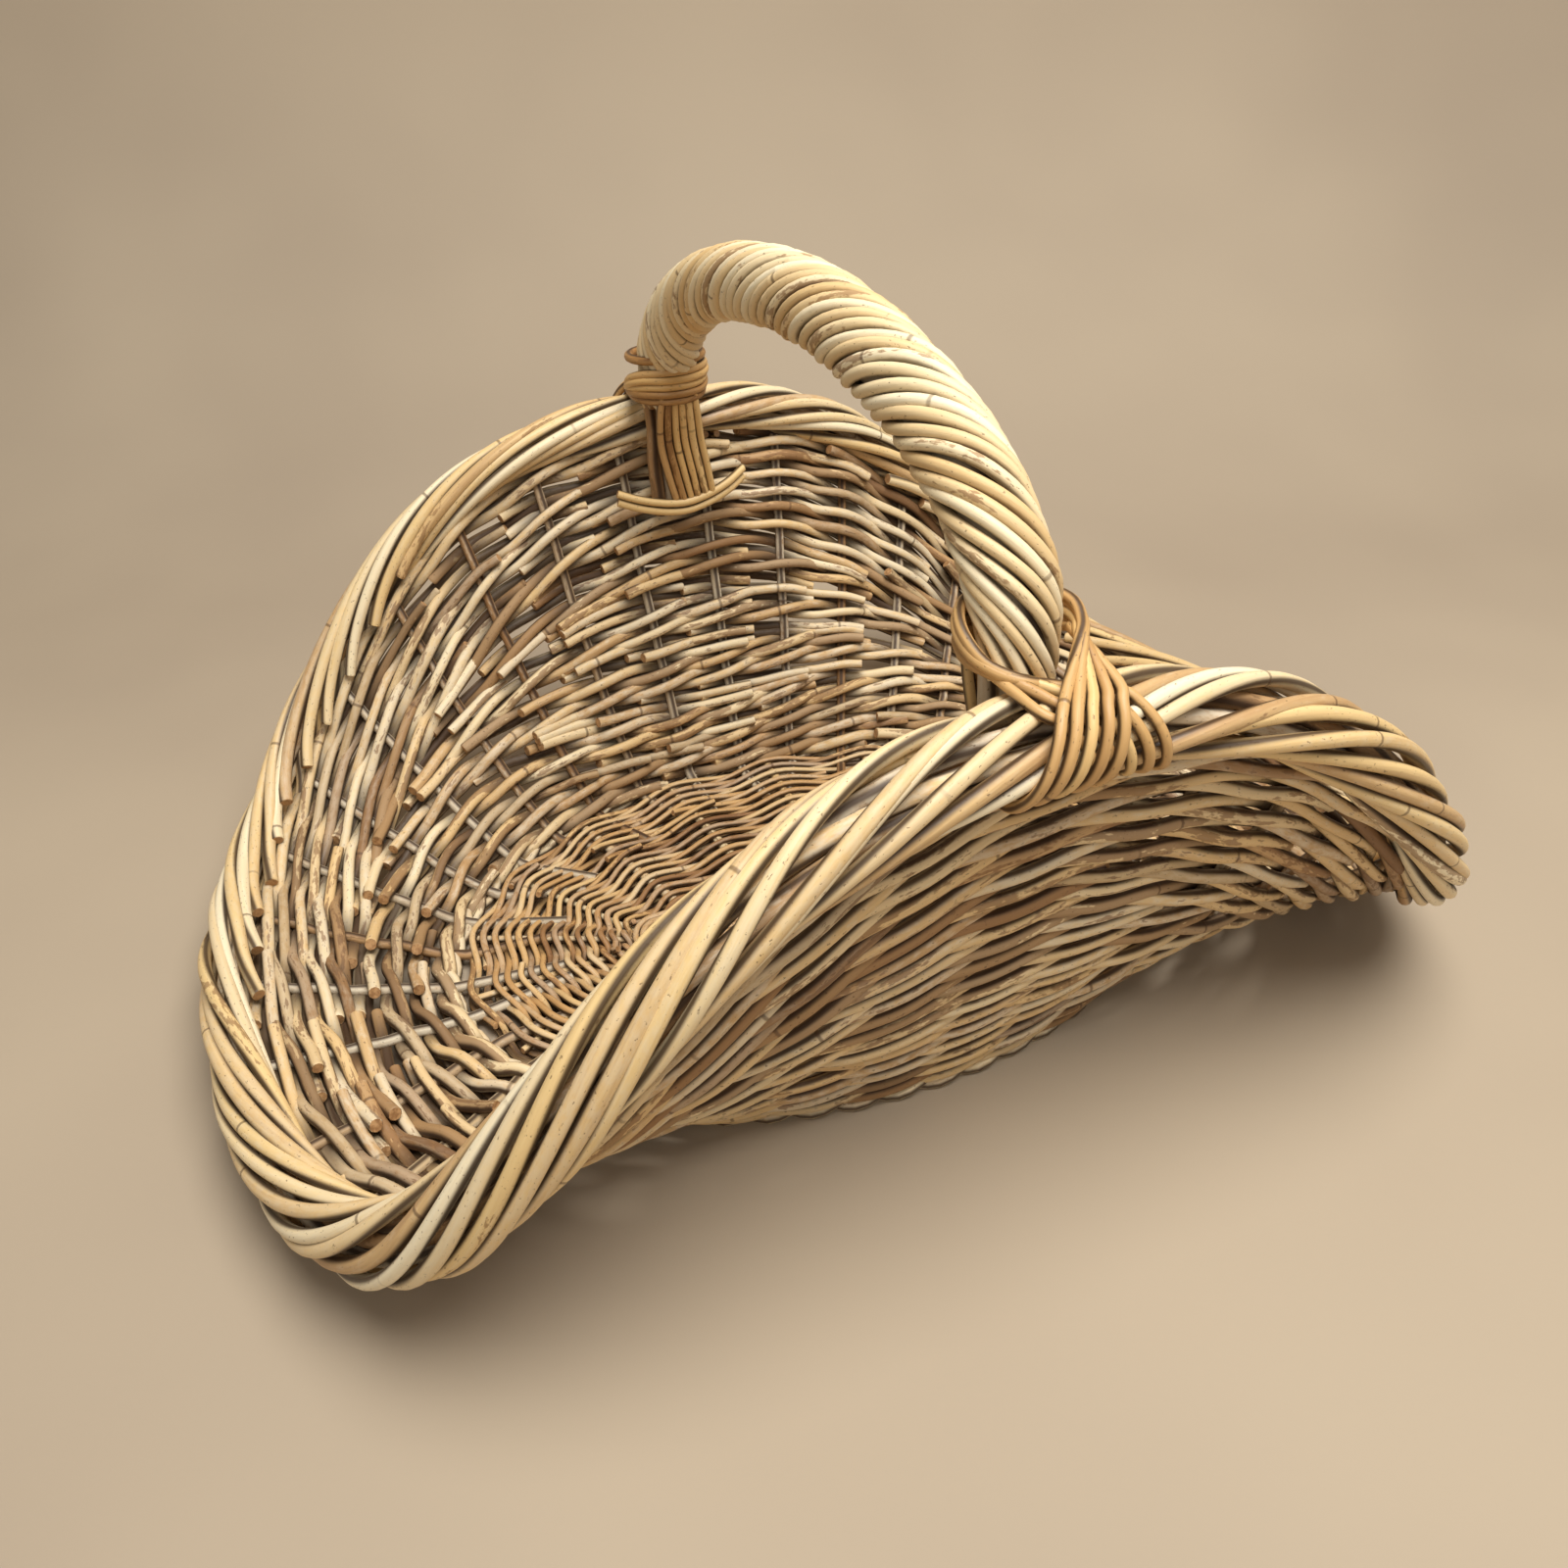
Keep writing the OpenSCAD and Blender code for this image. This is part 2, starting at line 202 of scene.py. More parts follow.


# %% [markdown]
# ## Bundles of rods
# The many rods of one kind are gathered in a Bundle and become one object, so the scene stays light.
# Four things are stored on the points, for the finish to read: skin (distance along the rod and place
# round it), rod (three random numbers, the same all over one rod), cut (1 on the sawn faces) and deep
# (up to 1 on the side that faces the inside of the weave, a painted shade for the crevices there).

# %% Bundle
class Bundle:
    def __init__(self, name):
        self.name = name
        self.points, self.faces, self.skin, self.rod, self.cut, self.deep = [], [], [], [], [], []
        self.count = 0
        self.rods = 0

    def gather(self, points, faces, skin, rod, cut, deep=0.0):
        """Adds points with their stored values, and faces that count from the first of them."""
        self.faces += (np.asarray(faces) + self.count).tolist()
        self.points.append(points)
        self.skin.append(skin)
        self.rod.append(np.tile(rod, (len(points), 1)))
        self.cut.append(np.full(len(points), cut))
        self.deep.append(np.broadcast_to(deep, len(points)))
        self.count += len(points)

    def add(self, path, radius, across, sides=10, ends=(True, True), part=None, look=None, depth=0.0):
        """Adds one rod. part keeps only some of its rings; depth says how far out of the weave it lies."""
        path = np.asarray(path, float)
        look = rng.random(3) if look is None else look
        rings, skin, along = sweep(path, radius, across, sides, look)
        first, last = part or (0, len(path))
        kept = range(first, last)
        # The side that faces into the weave gets a painted shade value, stronger the deeper the rod lies.
        inward = -np.cos(np.arange(sides) * 2 * math.pi / sides)
        deep = np.clip(1.5 * np.broadcast_to(depth, len(path))[kept, None] * inward, 0, 1).ravel()
        faces = ring_faces(last - first, sides)
        self.gather(rings[kept].reshape(-1, 3), faces, skin[kept].reshape(-1, 3), look, 0.0, deep)
        for closed, k, way in ((ends[0], first, -1), (ends[1], last - 1, 1)):
            if closed:
                face, edge, fan = sawn_end(rings[k], path[k], way * along[k], way)
                self.gather(np.vstack([rings[k], face]), edge, np.vstack([skin[k], skin[k]]), look, 0.0)
                flat_skin = np.vstack([CAP_SHARE * skin[k], [skin[k, 0, 0], 0, 0]])
                self.gather(np.vstack([face, face.mean(0)]), fan, flat_skin, look, 1.0)
        self.rods += 1

    def build(self, finish, slot, *nodes):
        """Makes the object, dresses it and hands it to the frame."""
        mesh = bpy.data.meshes.new(self.name)
        mesh.from_pydata(np.vstack(self.points).tolist(), [], self.faces)
        for label, kind, field, data in (("skin", "FLOAT_VECTOR", "vector", np.vstack(self.skin)),
                                         ("rod", "FLOAT_VECTOR", "vector", np.vstack(self.rod)),
                                         ("cut", "FLOAT", "value", np.concatenate(self.cut)),
                                         ("deep", "FLOAT", "value", np.concatenate(self.deep))):
            layer = mesh.attributes.new(label, kind, "POINT")
            layer.data.foreach_set(field, np.ascontiguousarray(data, np.float32).ravel())
        mesh.polygons.foreach_set("use_smooth", [True] * len(mesh.polygons))
        mesh.materials.append(finish)
        mesh.update()
        piece = bpy.data.objects.new(self.name, mesh)
        bpy.context.collection.objects.link(piece)
        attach(piece, "root")
        if nodes:
            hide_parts(*nodes)
        print(f"{self.name}: {self.rods} rods, {len(mesh.polygons)} faces")


# %% [markdown]
# ## The finish of a rod
# Peeled willow is cream to straw coloured with fine streaks along the rod, patches where bark was left,
# dark specks, and a thin ring at each bud. A flat colour or an image could not follow hundreds of bent
# rods. Here the noise is read in the rod's own skin space, which is stretched so that the streaks run
# lengthwise, and each rod's random numbers shift the pattern and pick its tone.
# A shader is a tree of nodes. These short helpers add one node each, so a whole tree reads like a recipe.

# %% Helpers for shader nodes
def tint(r, g, b):
    """A colour as it is seen on a screen, turned into the linear values that shaders use."""
    return tuple(((c / 255 + 0.055) / 1.055) ** 2.4 for c in (r, g, b)) + (1.0,)


def make(tree, kind, inputs=None, **settings):
    """Adds a shader node. An input may be a value or another node's output."""
    made = tree.nodes.new("ShaderNode" + kind)
    for key, value in settings.items():
        setattr(made, key, value)
    for key, value in (inputs or {}).items():
        if isinstance(value, bpy.types.NodeSocket):
            tree.links.new(value, made.inputs[key])
        else:
            made.inputs[key].default_value = value
    return made


def math_of(tree, operation, a, b=0.0, c=0.0):
    return make(tree, "Math", {0: a, 1: b, 2: c}, operation=operation).outputs[0]


def fade(tree, value, low, high, to_low=0.0, to_high=1.0):
    """Goes smoothly from one value to another while the input goes from low to high."""
    inputs = {"Value": value, "From Min": low, "From Max": high, "To Min": to_low, "To Max": to_high}
    return make(tree, "MapRange", inputs, interpolation_type="SMOOTHSTEP").outputs[0]


def blend(tree, amount, under, over):
    return make(tree, "Mix", {0: amount, 6: under, 7: over}, data_type="RGBA").outputs[2]


def noise_on(tree, place, stretch, detail=3.0, distortion=0.0):
    """Noise with that many waves to the metre in each direction of the rod's skin space."""
    spot = make(tree, "VectorMath", {0: place, 1: stretch}, operation="MULTIPLY").outputs[0]
    inputs = {"Vector": spot, "Scale": 1.0, "Detail": detail, "Roughness": 0.6, "Distortion": distortion}
    return make(tree, "TexNoise", inputs).outputs[0]


# %% [markdown]
# One function makes every finish, so the parts differ only in palette, in how much bark they keep, and in
# how weathered they are and how strong their painted shade is. The colour is laid on in coats: its own tone
# with streaks, a grey bloom and bark as on the real rod, painted shade along the flanks and in the crevices,
# then specks and bud rings, and fresh wood on the sawn ends. The same noises then drive the roughness and
# the bump, so that they agree.

# %% Patterns on the skin
BUD_GAP = 0.11


def patterns(tree):
    """What a finish reads: the values stored on the points, and the noises that follow the rod."""
    skin, rod = (make(tree, "Attribute", attribute_name=name).outputs["Vector"] for name in ("skin", "rod"))
    cut, deep = (make(tree, "Attribute", attribute_name=name).outputs["Fac"] for name in ("cut", "deep"))
    own = make(tree, "SeparateXYZ", {0: rod}).outputs
    shift = make(tree, "CombineXYZ", {0: math_of(tree, "MULTIPLY", own[2], 31.0)}).outputs[0]
    place = make(tree, "VectorMath", {0: skin, 1: shift}, operation="ADD").outputs[0]
    specks = fade(tree, noise_on(tree, place, (420, 760, 760), 2.0), 0.65, 0.72)
    along = make(tree, "SeparateXYZ", {0: place}).outputs[0]
    step = math_of(tree, "FRACT", math_of(tree, "DIVIDE", along, BUD_GAP))
    off_bud = math_of(tree, "ABSOLUTE", math_of(tree, "SUBTRACT", step, 0.5))
    budded = fade(tree, noise_on(tree, place, (9, 3, 3), 0.0), 0.5, 0.56)
    face = make(tree, "SeparateXYZ", {0: skin}).outputs
    round_off = make(tree, "VectorMath", {0: skin, 1: (0, 1, 1)}, operation="MULTIPLY").outputs[0]
    radius = make(tree, "VectorMath", {0: round_off}, operation="LENGTH").outputs["Value"]
    return SimpleNamespace(
        own=own, cut=cut, deep=deep, specks=specks,
        streaks=noise_on(tree, place, (16, 460, 460), 4.0),
        patches=noise_on(tree, place, (15, 130, 130), 4.0, 0.6),
        mottle=noise_on(tree, place, (150, 380, 380), 3.0),
        bud=math_of(tree, "MULTIPLY", fade(tree, off_bud, 0.003, 0.012, 1.0, 0.0), budded),
        facing=math_of(tree, "ABSOLUTE", math_of(tree, "DIVIDE", face[1], radius)))


# %% Coats of colour
# The second colour is the dark brown of painted shade, laid on the rod flanks and in the crevices.
BLOOM, CREVICE_SHADE, SPECK = (224, 212, 188), (60, 39, 23), (84, 58, 36)
SAWN_LIGHT, SAWN_DARK = (190, 148, 102), (148, 108, 68)


def own_tone(tree, on, tones):
    """The rod's own colour: a ramp from dark to light, entered by its random number and its streaks."""
    tone = math_of(tree, "MULTIPLY_ADD", on.streaks, 0.55, math_of(tree, "SUBTRACT", on.own[0], 0.42))
    ramp = make(tree, "ValToRGB", {0: math_of(tree, "MULTIPLY_ADD", on.patches, 0.3, tone)})
    stops = ramp.color_ramp.elements
    while len(stops) < len(tones):
        stops.new(0.5)
    for k, shade in enumerate(tones):
        stops[k].position = k / (len(tones) - 1)
        stops[k].color = tint(*shade)
    return ramp.outputs[0]


def shade_and_marks(tree, on, colour, shade_strength):
    """Adds painted shade on the flanks and in the crevices, then specks, bud rings, and fresh wood on sawn
    ends.
    """
    # Painted shade: the flanks, where rods touch their neighbours, and the sides facing into the weave are
    # darkened.
    flank_shade = fade(tree, math_of(tree, "MULTIPLY_ADD", on.streaks, -0.25, on.facing), 0.0, 0.6, shade_strength, 0.0)
    painted_shade = math_of(tree, "MAXIMUM", flank_shade, math_of(tree, "MULTIPLY", on.deep, shade_strength))
    colour = blend(tree, painted_shade, colour, tint(*CREVICE_SHADE))
    spots, rings = math_of(tree, "MULTIPLY", on.specks, 0.6), math_of(tree, "MULTIPLY", on.bud, 0.65)
    colour = blend(tree, math_of(tree, "MAXIMUM", spots, rings), colour, tint(*SPECK))
    sawn = blend(tree, fade(tree, on.mottle, 0.35, 0.65), tint(*SAWN_LIGHT), tint(*SAWN_DARK))
    return blend(tree, on.cut, colour, sawn)


# %% The whole finish
def rod_finish(name, tones, bark, barkiness, gloss=0.42, grey=0.0, shade_strength=0.92):
    """A willow finish. tones run from dark to light; gloss is the roughness of the smoothest places; the
    last argument sets how dark the painted shade is on the flanks and in the crevices.
    """
    mat = bpy.data.materials.new(name)
    mat.use_nodes = True
    tree = mat.node_tree
    shader = tree.nodes["Principled BSDF"]
    on = patterns(tree)
    colour = own_tone(tree, on, tones)
    if grey:
        worn = math_of(tree, "MULTIPLY_ADD", on.own[1], -0.5, on.mottle)
        colour = blend(tree, fade(tree, worn, 0.15, 0.55, 0.0, grey), colour, tint(*BLOOM))
    kept = math_of(tree, "ADD", fade(tree, on.own[1], 0.55, 1.0, 0.0, 0.3), on.patches)
    kept = math_of(tree, "MULTIPLY_ADD", on.mottle, 0.5, kept)
    kept = fade(tree, kept, 1.04 - barkiness, 1.10 - barkiness)
    colour = blend(tree, math_of(tree, "MULTIPLY", kept, 0.7), colour, tint(*bark))
    colour = shade_and_marks(tree, on, colour, shade_strength)
    rough = fade(tree, on.streaks, 0.3, 0.7, gloss, gloss + 0.18)
    rough = math_of(tree, "MULTIPLY_ADD", kept, 0.15, rough)
    height = math_of(tree, "MULTIPLY_ADD", on.mottle, 0.5, on.streaks)
    height = math_of(tree, "MULTIPLY_ADD", on.specks, -0.5, height)
    height = math_of(tree, "MULTIPLY_ADD", on.bud, 0.9, height)
    bump = make(tree, "Bump", {"Height": height, "Strength": 0.45, "Distance": 0.0006})
    tree.links.new(colour, shader.inputs["Base Color"])
    tree.links.new(rough, shader.inputs["Roughness"])
    tree.links.new(bump.outputs[0], shader.inputs["Normal"])
    shader.inputs["Specular IOR Level"].default_value = 0.45
    return mat


# %% [markdown]
# Eight finishes dress the whole basket. Border and handle rods are the palest, the base and the ties are
# honey, the walls of the two lips take a darker, browner copy of the weave finish as painted shade, and the
# stakes have weathered grey.

# %% Eight finishes
CREAM, PALE, STRAW = (236, 214, 172), (245, 230, 196), (222, 188, 134)
HONEY, TAN, BROWN, GREY = (204, 162, 106), (188, 150, 104), (150, 110, 70), (200, 184, 158)
LIP_SHADE_TONES = [(136, 100, 64), (166, 130, 90), (182, 152, 110), (200, 174, 132)]
TIE_TONES = [(164, 118, 66), HONEY, (220, 178, 114), (236, 202, 142)]
peeled = rod_finish("Peeled_Border_Rods", [TAN, STRAW, (230, 198, 140), CREAM, PALE],
                    (140, 100, 60), 0.04, 0.40, 0.3)
scraped = rod_finish("Scraped_Handle_Rods", [STRAW, (228, 200, 152), CREAM, PALE],
                     (142, 100, 60), -0.04, 0.42, shade_strength=0.6)
weathered = rod_finish("Weathered_Weaving_Rods", [TAN, STRAW, (220, 192, 146), CREAM],
                       (132, 92, 56), 0.2, 0.46, 0.6)
# A darker, browner copy of the weave finish, which paints shade on the two lip walls.
lip_shade_weave = rod_finish("Lip_Shade_Weaving_Rods", LIP_SHADE_TONES, (116, 82, 52), 0.2, 0.46, 0.28)
honeyed = rod_finish("Honey_Base_Rods", [BROWN, (182, 138, 88), HONEY, STRAW],
                     (128, 86, 50), 0.06, 0.42, 0.3)
stained = rod_finish("Grey_Stakes", [BROWN, TAN, GREY, STRAW], (128, 96, 62), 0.08, 0.5, 0.8)
sticks = rod_finish("Base_Sticks", [HONEY, STRAW, CREAM], (128, 96, 62), 0.06, 0.5, 0.6)
glossy = rod_finish("Tying_Rods", TIE_TONES, (128, 88, 48), 0.0, 0.34)
print("materials:", len(bpy.data.materials))

# %% [markdown]
# ## The base: sticks
# A base starts as a cross. Short thick sticks are slit in the middle, and the long thin ones are pushed
# through the slits. Each end is then splayed towards the edge like the spokes of a wheel.
# Every stick is one rod whose path bends where it leaves the first rounds of weaving.

# %% Spokes of the base
HUB_L, HUB_W = 112 * MM, 20 * MM
THIN_D, STICK_D = 4.2 * MM, 7 * MM
THIN_GAP, SHORT_GAP = 4.8 * MM, 50 * MM
SPOKES = 18
SPOKE_STEP = 360 / SPOKES
LONG_STICKS, SHORT_STICKS = range(-2, 3), range(3, 7)


def stick_end(spoke):
    return base_edge(spoke * SPOKE_STEP, -8 * MM)


def spoke_start(k):
    """Where spoke k leaves the first rounds, on the nearest stick of the cross."""
    a = k * SPOKE_STEP
    turned = (a + 180) % 360 - 180
    if abs(turned) <= 40:
        return np.array([HUB_L - 8 * MM, turned / SPOKE_STEP * THIN_GAP, CORE_Z])
    if abs(turned) >= 140:
        return np.array([-(HUB_L - 8 * MM), (180 - a) / SPOKE_STEP * THIN_GAP, CORE_Z])
    side = math.copysign(1, turned)
    return np.array([(90 - abs(turned)) / SPOKE_STEP * SHORT_GAP, side * (HUB_W - 2 * MM), CORE_Z])


def splayed(first, second):
    """A stick's path from one spoke's end, through the cross, to the end of the spoke opposite."""
    a, b = spoke_start(first), spoke_start(second)
    outer_a, outer_b = stick_end(first), stick_end(second)
    return flow([outer_a, a + 0.5 * (outer_a - a), a, a + 0.12 * (b - a), b + 0.12 * (a - b), b,
                 b + 0.5 * (outer_b - b), outer_b], 5)


# %% Long and short sticks
long_sticks = Bundle("Base_Long_Sticks")
for k in LONG_STICKS:
    long_sticks.add(splayed((9 - k) % SPOKES, k % SPOKES), THIN_D / 2, (0, 0, 1))
long_sticks.build(sticks, "stick", "base_long_sticks")
short_sticks = Bundle("Base_Short_Sticks")
for k in SHORT_STICKS:
    short_sticks.add(splayed(SPOKES - k, k), STICK_D / 2, (0, 0, 1), 12)
short_sticks.build(sticks, "stick", "base_short_sticks")

# %% [markdown]
# ## The base: first rounds
# The cross is tied with a few tight rounds of thin rod. They lie against it like two flat coils, one above
# and one beneath, and make the small eye where the weaving begins. The sticks that are pushed through sit
# side by side, so the coil is not round: it is two straights joined by half circles.

# %% Coils about the cross
FINE_R = 2.1 * MM


def coil_point(turn, length, width):
    """A point of a long flat loop: two straights joined by half circles."""
    half = length - width
    return np.array([math.copysign(half, cos(turn)) * min(1, abs(cos(turn)) * 3) + width * cos(turn),
                     width * sin(turn), CORE_Z + STICK_D / 2 + FINE_R])


hub = Bundle("Base_Hub")
for beneath, first, last in ((False, 0, 4 * 360), (True, 90, 3 * 360)):
    turns = np.arange(first, last, 7.5)
    growth = turns / 360 * 4.3 * MM
    path = [coil_point(t, 99 * MM + g, 4.5 * MM + g) for t, g in zip(turns, growth)]
    if beneath:
        path = [p * (1, 1, -1) + (0, 0, 2 * CORE_Z) for p in path]
    hub.add(path, FINE_R, (0, 0, 1), 8)
hub.build(honeyed, "base_weaver", "base_hub")

# %% [markdown]
# ## The three-rod wale
# Almost all of this basket is one weave. Three rods travel together. Each passes in front of two uprights
# and behind one, and each starts one upright after the last. So one side of the work shows two rods in
# every round and hides the uprights, and the other side shows one, with the uprights between.
# The path of any one rod is therefore the same short pattern, repeated every three uprights: how far it
# stands off the middle of the work, and how far it rides up or down within its round.
# These two small tables are the whole weave; everything else is where the uprights are.
# The rods are not endless either: a round is cut into lengths, as a weaver joins in a fresh rod.

# %% Pattern of the wale
# Half steps between uprights, in the direction of travel: 0 comes out, 1 and 3 pass uprights outside,
# 2 is between them, 4 goes in, 5 passes an upright on the inside.
STAND_OFF = np.array([0.02, 0.76, 1.04, 0.76, -0.02, -0.88])
RIDE = np.array([0.72, 0.4, -0.15, -0.46, -0.6, 0.04])
END_OFF = 1.45
BREAKS = (9, 12, 12, 15)


def wale_lengths(count):
    """Cuts a round of that many uprights into rods, mostly 9 to 15 uprights long."""
    cuts = [0]
    while cuts[-1] < count:
        cuts.append(cuts[-1] + int(rng.choice(BREAKS)))
    cuts[-1] = count
    if len(cuts) > 2 and cuts[-1] - cuts[-2] < 6:
        del cuts[-2]
    return [(a, b) for a, b in zip(cuts, cuts[1:]) if b - a >= 3]


print("most rods of the wale pass", min(BREAKS), "to", max(BREAKS), "uprights")


# %% One rod of the wale
def wale_rod(place, start, end, thick, off, pitch, tail=0.3, steps=4):
    """One rod of the wale, with how far outside it lies. place(step, off, up) gives the points.
    It starts and ends inside an upright, or about half of the time is cut off where it dives between two."""
    points, outward, depth = [], [], []
    count = 2 * (end - start) + 3
    sway = 0.08 * thick * rng.normal(0, 1, count)
    lift = 0.22 * thick * np.sin(np.arange(count) * 0.4 + rng.uniform(0, 6))
    marks = [start - tail] + [start + h / 2 for h in range(2 * (end - start) + 1)] + [end + tail]
    for k, at in enumerate(marks):
        phase = (k - 1 + 5) % 6
        off_here, up = off * STAND_OFF[phase], RIDE[phase]
        if k in (0, len(marks) - 1):
            off_here = -off * END_OFF
        if k <= 1:
            up = 0.5
        if k >= len(marks) - 2:
            up = -0.4
        point, out = place(at, off_here + sway[k], up * pitch / 2 + lift[k])
        points.append(point)
        outward.append(out)
        depth.append([off_here / off])
    first, last = (2 * steps * (rng.random(2) < 0.5)).astype(int)
    kept = slice(first, (len(points) - 1) * steps + 1 - last)
    return flow(points, steps)[kept], flow(outward, steps)[kept], flow(depth, steps)[kept, 0]


print("wale: one rod repeats every", len(RIDE) // 2, "uprights")

# %% [markdown]
# ## The base: weaving
# Thin honey-coloured rods fill the base from the cross to the edge, in a wale worked with the single
# float on top. Each round crosses the spokes a little further out, so the floats over one spoke stack up
# in a wedge. Between two spokes the rods dive through and are drawn in towards the middle.

# %% Base weaving
BASE_ROUNDS = 16
starts = np.array([spoke_start(k) for k in range(SPOKES)])
ends = np.array([base_edge(k * SPOKE_STEP, -1 * MM) for k in range(SPOKES)])


def base_place(row):
    """Gives the function that turns a step round the base into a point of that round."""
    share = (row + 0.35) / BASE_ROUNDS

    def place(step, off, up):
        k = -step
        low, part = int(math.floor(k)), k - math.floor(k)
        a, b = low % SPOKES, (low + 1) % SPOKES
        near = starts[a] * (1 - part) + starts[b] * part
        far = ends[a] * (1 - part) + ends[b] * part
        out = unit(far - near)
        drawn_in = 1.5 * MM * math.sin(math.pi * part) ** 2
        point = near + (far - near) * share + out * (up - drawn_in)
        point[2] = CORE_Z - off
        return point, np.array([0.0, 0.0, 1.0])

    return place


base_weave = [Bundle("Base_Weave_Inner"), Bundle("Base_Weave_Outer")]
for row in range(BASE_ROUNDS):
    for strand in range(3):
        start = int(rng.integers(6)) * 3 + row + strand + SPOKES * 3
        end = start + SPOKES - 3 * (strand == 1)
        thick = FINE_R * rng.uniform(0.9, 1.06)
        path, out, depth = wale_rod(base_place(row), start, end, thick, 5.3 * MM, 5 * MM, 0.22, 5)
        base_weave[row >= BASE_ROUNDS * 0.6].add(path, thick, out, 8, depth=-depth)
base_weave[0].build(honeyed, "base_weaver", "base_weave_over")
base_weave[1].build(honeyed, "base_weaver", "base_weave_under")

# %% [markdown]
# ## The stakes
# Thirty-six rods are pushed into the base, one on each side of every spoke, and bent up at its edge.
# They are the warp of the wall, and their tops are woven away into the border.

# %% Stakes
STAKE_R = 3.15 * MM
REGIONS = {"Front": (220, 320), "Back": (40, 140), "Left": (140, 220), "Right": (-40, 40)}


def region_of(a):
    a = (a + 40) % 360 - 40
    return next(name for name, (low, high) in REGIONS.items() if low <= a <= high)


stakes = {name: Bundle(name + "_Stakes") for name in REGIONS}
for k in range(STAKES):
    a = (k + 0.5) * STAKE_STEP
    lean = a + (-2.2 if k % 2 == 0 else 2.2)
    foot = np.array([0.72 * BASE_L * cos(lean), 0.72 * BASE_W * sin(lean), CORE_Z])
    bend = base_edge(a, -9 * MM)
    top = 1 - 14 * MM / wall_length(a)
    climb = np.linspace(0.03, top, 12)
    path = np.vstack([foot, (foot + bend) / 2, bend, wall(climb, climb * 0 + a)])
    path[3:] += rng.normal(0, 0.4 * MM, (12, 3))
    path = flow(path, 3)
    stakes[region_of(a)].add(path, np.linspace(1.05, 0.92, len(path)) * STAKE_R, (-sin(a), cos(a), 0))
for name, bundle in stakes.items():
    bundle.build(stained, "stake", name.lower() + "_stakes")

# %% [markdown]
# ## The wall
# The wall is the same wale in thicker rods. The sides need more than twice as many rounds as the lips, so
# some rounds go right round and others are short: they stop where the wall gets lower. Working out how
# many rounds fit at each upright, and which ones they are, gives every rod its height.
# The first and the last rounds are full ones. They follow the base and the rim. The short ones between
# them are taken in mixed order of length, so that they do not end above one another like stairs.

# %% Rounds of the wall
WALL_R, ROUND = 3.5 * MM, 11.4 * MM
WALL_OFF = STAKE_R + WALL_R - 0.8 * MM
FOOT_GAP, HEAD_GAP = 0.5 * MM, 11 * MM
FULL_LOW, FULL_HIGH = 3, 6
stake_angles = (np.arange(STAKES) + 0.5) * STAKE_STEP
fitted = (wall_length(stake_angles) - FOOT_GAP - HEAD_GAP) / ROUND
FULL = FULL_LOW + FULL_HIGH
SHORT = int(1.3 * (fitted.max() - FULL))
RANK_STRIDE = 4


def runs_of(row):
    """Runs of uprights that a round covers, as (first step, number of steps). Steps go round backwards."""
    if row < FULL_LOW or row >= FULL_LOW + SHORT:
        return [(row * 7 % STAKES, STAKES)]
    rank = (row - FULL_LOW) * RANK_STRIDE % SHORT
    half = max(3, int((fitted[:STAKES // 2] > FULL + rank + 0.5).sum()) // 2)
    middles = (28,) if row % 3 == 1 else (10, 28)
    return [(middle - half, 2 * half - 1) for middle in middles]


def rods_of(row, strand):
    """Where the rods of one strand of a round start and stop."""
    for first, length in runs_of(row):
        begin = first + (strand - first) % 3
        room = STAKES if length == STAKES else (first + length - begin) // 3 * 3
        yield from ((begin + a, begin + b) for a, b in wale_lengths(room))


print("rounds:", FULL, "full and", SHORT, "short")

# %% [markdown]
# Where many rods end, a round is thinner. So we count how much of each round is really there at each
# upright, share the height out by that, and let the lower rounds be a little thicker than the upper ones.

# %% Heights of the rounds
ROWS = FULL + SHORT
lengths = {(row, strand): list(rods_of(row, strand)) for row in range(ROWS) for strand in range(3)}
worked = np.zeros((STAKES, ROWS))
for (row, strand), pieces in lengths.items():
    for start, end in pieces:
        for step in range(start, end):
            worked[[-step % STAKES, (-step - 1) % STAKES], row] += 1 / 6
room = worked * np.linspace(1.25, 0.85, ROWS)
pitch = (wall_length(stake_angles) - FOOT_GAP - HEAD_GAP) / room.sum(1)
round_height = FOOT_GAP + pitch[:, None] * (np.cumsum(room, 1) - 0.5 * room)
print("rounds at the uprights:", worked.sum(1).min().round(1), "to", worked.sum(1).max().round(1))


def wall_place(row):
    """The same for a round of the wall. The round waves up and down a little, as hand work does."""
    def place(step, off, up):
        k = -step
        low, part = int(math.floor(k)), k - math.floor(k)
        height = round_height[low % STAKES, row] * (1 - part) + round_height[(low + 1) % STAKES, row] * part
        a = (k + 0.5) * STAKE_STEP
        wave = 0.7 * MM * math.sin(3 * math.radians(a) + 1.7 * row) * math.sin(0.9 * row)
        u = (height + up + wave) / wall_length(a)
        out = wall_normal(u, a)
        point = wall(u, a) + off * out
        point[2] = max(point[2], 1.28 * WALL_R)
        return point, out

    return place


# %% [markdown]
# ## Weaving the wall
# Each round has its three rods, which start one upright apart, cut into the lengths worked out above.
# A willow rod is only so long. It begins and ends on the inside, past an upright, or is cut off where it
# dives between two. Those are the cut ends to be seen all over the inside.
# The two walls at the lips take a darker, browner copy of the weave finish, which paints shade on them.

